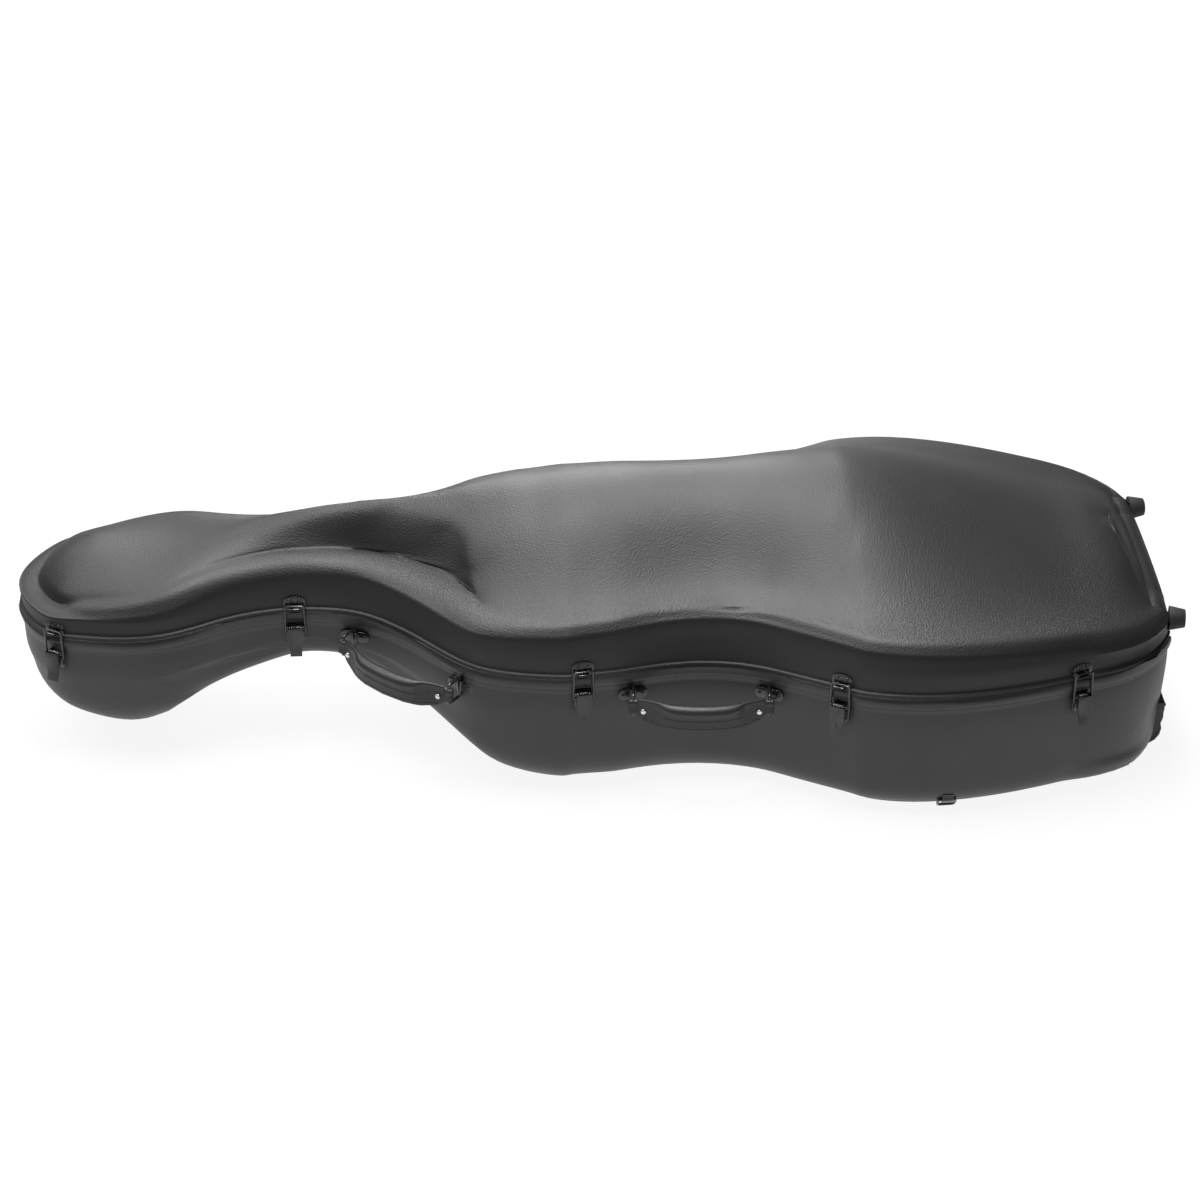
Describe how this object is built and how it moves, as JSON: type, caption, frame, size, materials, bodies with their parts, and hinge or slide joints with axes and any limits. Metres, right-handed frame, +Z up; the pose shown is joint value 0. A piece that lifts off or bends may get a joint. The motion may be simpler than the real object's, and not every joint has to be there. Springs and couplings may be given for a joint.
{
  "type": "cello hard case",
  "caption": "Hinged hard case shaped round a cello, with an arched lid, draw latches, swinging carrying handles, tail wheels, standing feet and a padded inside.",
  "frame": {"origin": "on the flat of the back panel that the case rests on, midway along its outline", "axes": "+X from the scroll end to the tail end, +Z up through the lid, -Y to the side with the latches and handles"},
  "size_m": [1.3583, 0.546, 0.3269],
  "materials": {
    "base_shell": "satin black with a fine grain",
    "lid_shell": "satin black with a pebbled grain",
    "seal_rubber": "matt",
    "housing_plastic": "satin black",
    "pin_steel": "bright",
    "wheel_rubber": "matt black",
    "foot_rubber": "matt black",
    "grip_leather": "black, softly grained",
    "strap_fabric": "black webbing",
    "pouch_fabric": "dark grey velvet",
    "plush": "dark grey plush",
    "clip_plastic": "black",
    "hardware_metal": "gloss black"
  },
  "bodies": {
    "base": {"base_shell": "base_shell", "rim_seal": "seal_rubber", "base_lining": "plush", "latch_1_plate": "hardware_metal", "latch_2_plate": "hardware_metal", "latch_3_plate": "hardware_metal", "latch_4_plate": "hardware_metal", "latch_5_plate": "hardware_metal", "handle_1_bracket_left": "hardware_metal", "handle_1_bracket_right": "hardware_metal", "handle_2_bracket_left": "hardware_metal", "handle_2_bracket_right": "hardware_metal", "hinge_1_base_leaf": "hardware_metal", "hinge_2_base_leaf": "hardware_metal", "hinge_1_pin": "pin_steel", "hinge_2_pin": "pin_steel", "wheel_housing_1": "housing_plastic", "wheel_housing_2": "housing_plastic", "wheel_axle_1": "pin_steel", "wheel_axle_2": "pin_steel", "strap_plate_1": "hardware_metal", "strap_plate_2": "hardware_metal", "neck_cradle": "plush", "neck_strap": "strap_fabric", "upper_back_pad": "plush", "lower_back_pad": "plush", "accessory_pouch": "pouch_fabric"},
    "lid": {"lid_shell": "lid_shell", "lid_lining": "plush", "latch_1_keeper": "hardware_metal", "latch_2_keeper": "hardware_metal", "latch_3_keeper": "hardware_metal", "latch_4_keeper": "hardware_metal", "latch_5_keeper": "hardware_metal", "hinge_1_lid_leaf": "hardware_metal", "hinge_2_lid_leaf": "hardware_metal", "foot_1": "foot_rubber", "foot_2": "foot_rubber"},
    "latch_1_lever": {"latch_1_lever": "hardware_metal"},
    "latch_1_bail": {"latch_1_bail": "hardware_metal"},
    "latch_2_lever": {"latch_2_lever": "hardware_metal"},
    "latch_2_bail": {"latch_2_bail": "hardware_metal"},
    "latch_3_lever": {"latch_3_lever": "hardware_metal"},
    "latch_3_bail": {"latch_3_bail": "hardware_metal"},
    "latch_4_lever": {"latch_4_lever": "hardware_metal"},
    "latch_4_bail": {"latch_4_bail": "hardware_metal"},
    "latch_5_lever": {"latch_5_lever": "hardware_metal"},
    "latch_5_bail": {"latch_5_bail": "hardware_metal"},
    "handle_1_ring_left": {"handle_1_ring_left": "hardware_metal"},
    "handle_1_ring_right": {"handle_1_ring_right": "hardware_metal"},
    "handle_1_grip": {"handle_1_grip": "grip_leather"},
    "handle_2_ring_left": {"handle_2_ring_left": "hardware_metal"},
    "handle_2_ring_right": {"handle_2_ring_right": "hardware_metal"},
    "handle_2_grip": {"handle_2_grip": "grip_leather"},
    "wheel_1": {"wheel_1": "wheel_rubber"},
    "wheel_2": {"wheel_2": "wheel_rubber"},
    "strap_ring_1": {"strap_ring_1": "hardware_metal"},
    "strap_ring_2": {"strap_ring_2": "hardware_metal"},
    "bow_clip_1": {"bow_clip_1": "clip_plastic"},
    "bow_clip_2": {"bow_clip_2": "clip_plastic"}
  },
  "joints": [
    {"name": "lid_hinge", "type": "hinge", "parent": "base", "child": "lid", "pos_m": [-0.07286, 0.21101, 0.1629], "axis": [-0.99, -0.1411, 0], "range_deg": [0, 105]},
    {"name": "latch_1_lever_turn", "type": "hinge", "parent": "base", "child": "latch_1_lever", "pos_m": [-0.62263, -0.09857, 0.14472], "axis": [-0.8834, 0.4686, 0], "range_deg": [0, 100]},
    {"name": "latch_1_bail_turn", "type": "hinge", "parent": "latch_1_lever", "child": "latch_1_bail", "pos_m": [-0.62225, -0.09787, 0.13972], "axis": [-0.8834, 0.4686, 0], "range_deg": [-100, 0]},
    {"name": "latch_2_lever_turn", "type": "hinge", "parent": "base", "child": "latch_2_lever", "pos_m": [-0.34422, -0.08137, 0.161], "axis": [-0.9996, -0.0283, 0], "range_deg": [0, 100]},
    {"name": "latch_2_bail_turn", "type": "hinge", "parent": "latch_2_lever", "child": "latch_2_bail", "pos_m": [-0.34424, -0.08057, 0.156], "axis": [-0.9996, -0.0283, 0], "range_deg": [-100, 0]},
    {"name": "latch_3_lever_turn", "type": "hinge", "parent": "base", "child": "latch_3_lever", "pos_m": [-0.01303, -0.21018, 0.14297], "axis": [-0.9911, -0.1334, 0], "range_deg": [0, 100]},
    {"name": "latch_3_bail_turn", "type": "hinge", "parent": "latch_3_lever", "child": "latch_3_bail", "pos_m": [-0.01313, -0.20939, 0.13797], "axis": [-0.9911, -0.1334, 0], "range_deg": [-100, 0]},
    {"name": "latch_4_lever_turn", "type": "hinge", "parent": "base", "child": "latch_4_lever", "pos_m": [0.27416, -0.24686, 0.14289], "axis": [-0.8731, 0.4875, 0], "range_deg": [0, 100]},
    {"name": "latch_4_bail_turn", "type": "hinge", "parent": "latch_4_lever", "child": "latch_4_bail", "pos_m": [0.27455, -0.24616, 0.13789], "axis": [-0.8731, 0.4875, 0], "range_deg": [-100, 0]},
    {"name": "latch_5_lever_turn", "type": "hinge", "parent": "base", "child": "latch_5_lever", "pos_m": [0.55265, -0.23459, 0.14298], "axis": [-0.9346, -0.3557, 0], "range_deg": [0, 100]},
    {"name": "latch_5_bail_turn", "type": "hinge", "parent": "latch_5_lever", "child": "latch_5_bail", "pos_m": [0.55236, -0.23384, 0.13798], "axis": [-0.9346, -0.3557, 0], "range_deg": [-100, 0]},
    {"name": "handle_1_ring_left_swing", "type": "hinge", "parent": "base", "child": "handle_1_ring_left", "pos_m": [-0.27591, -0.08263, 0.14831], "axis": [0.0558, -0.0426, 0.9975], "range_deg": [-40, 40]},
    {"name": "handle_1_ring_right_swing", "type": "hinge", "parent": "base", "child": "handle_1_ring_right", "pos_m": [-0.15358, -0.17617, 0.13747], "axis": [0.0558, -0.0426, 0.9975], "range_deg": [-40, 40]},
    {"name": "handle_1_grip_swing", "type": "hinge", "parent": "handle_1_ring_left", "child": "handle_1_grip", "pos_m": [-0.28866, -0.09931, 0.14831], "axis": [0.0558, -0.0426, 0.9975], "range_deg": [-40, 40]},
    {"name": "handle_2_ring_left_swing", "type": "hinge", "parent": "base", "child": "handle_2_ring_left", "pos_m": [0.04373, -0.19598, 0.13292], "axis": [0.0003, 0, 1], "range_deg": [-40, 40]},
    {"name": "handle_2_ring_right_swing", "type": "hinge", "parent": "base", "child": "handle_2_ring_right", "pos_m": [0.19822, -0.20224, 0.13288], "axis": [0.0003, 0, 1], "range_deg": [-40, 40]},
    {"name": "handle_2_grip_swing", "type": "hinge", "parent": "handle_2_ring_left", "child": "handle_2_grip", "pos_m": [0.04288, -0.21697, 0.13292], "axis": [0.0003, 0, 1], "range_deg": [-40, 40]},
    {"name": "wheel_1_roll", "type": "hinge", "parent": "base", "child": "wheel_1", "pos_m": [0.6515, -0.113, 0.0235], "axis": [0, 1, 0], "continuous": true},
    {"name": "wheel_2_roll", "type": "hinge", "parent": "base", "child": "wheel_2", "pos_m": [0.6515, 0.113, 0.0235], "axis": [0, 1, 0], "continuous": true},
    {"name": "strap_ring_1_swing", "type": "hinge", "parent": "base", "child": "strap_ring_1", "pos_m": [0.40246, -0.25233, 0.01782], "axis": [-0.9976, -0.0685, 0], "range_deg": [0, 95]},
    {"name": "strap_ring_2_swing", "type": "hinge", "parent": "base", "child": "strap_ring_2", "pos_m": [0.40246, 0.25233, 0.01782], "axis": [0.9976, -0.0685, 0], "range_deg": [0, 95]},
    {"name": "bow_clip_1_turn", "type": "hinge", "parent": "lid", "child": "bow_clip_1", "pos_m": [-0.1345, 0, 0.26015], "axis": [0, 0, 1], "range_deg": [0, 90]},
    {"name": "bow_clip_2_turn", "type": "hinge", "parent": "lid", "child": "bow_clip_2", "pos_m": [0.269, 0, 0.28798], "axis": [0, 0, 1], "range_deg": [0, 90]}
  ],
  "couplings": [
    {"joint": "latch_1_bail_turn", "follows": "latch_1_lever_turn", "ratio": -1},
    {"joint": "latch_2_bail_turn", "follows": "latch_2_lever_turn", "ratio": -1},
    {"joint": "latch_3_bail_turn", "follows": "latch_3_lever_turn", "ratio": -1},
    {"joint": "latch_4_bail_turn", "follows": "latch_4_lever_turn", "ratio": -1},
    {"joint": "latch_5_bail_turn", "follows": "latch_5_lever_turn", "ratio": -1},
    {"joint": "handle_1_ring_right_swing", "follows": "handle_1_ring_left_swing", "ratio": 1},
    {"joint": "handle_1_grip_swing", "follows": "handle_1_ring_left_swing", "ratio": -1},
    {"joint": "handle_2_ring_right_swing", "follows": "handle_2_ring_left_swing", "ratio": 1},
    {"joint": "handle_2_grip_swing", "follows": "handle_2_ring_left_swing", "ratio": -1}
  ]
}
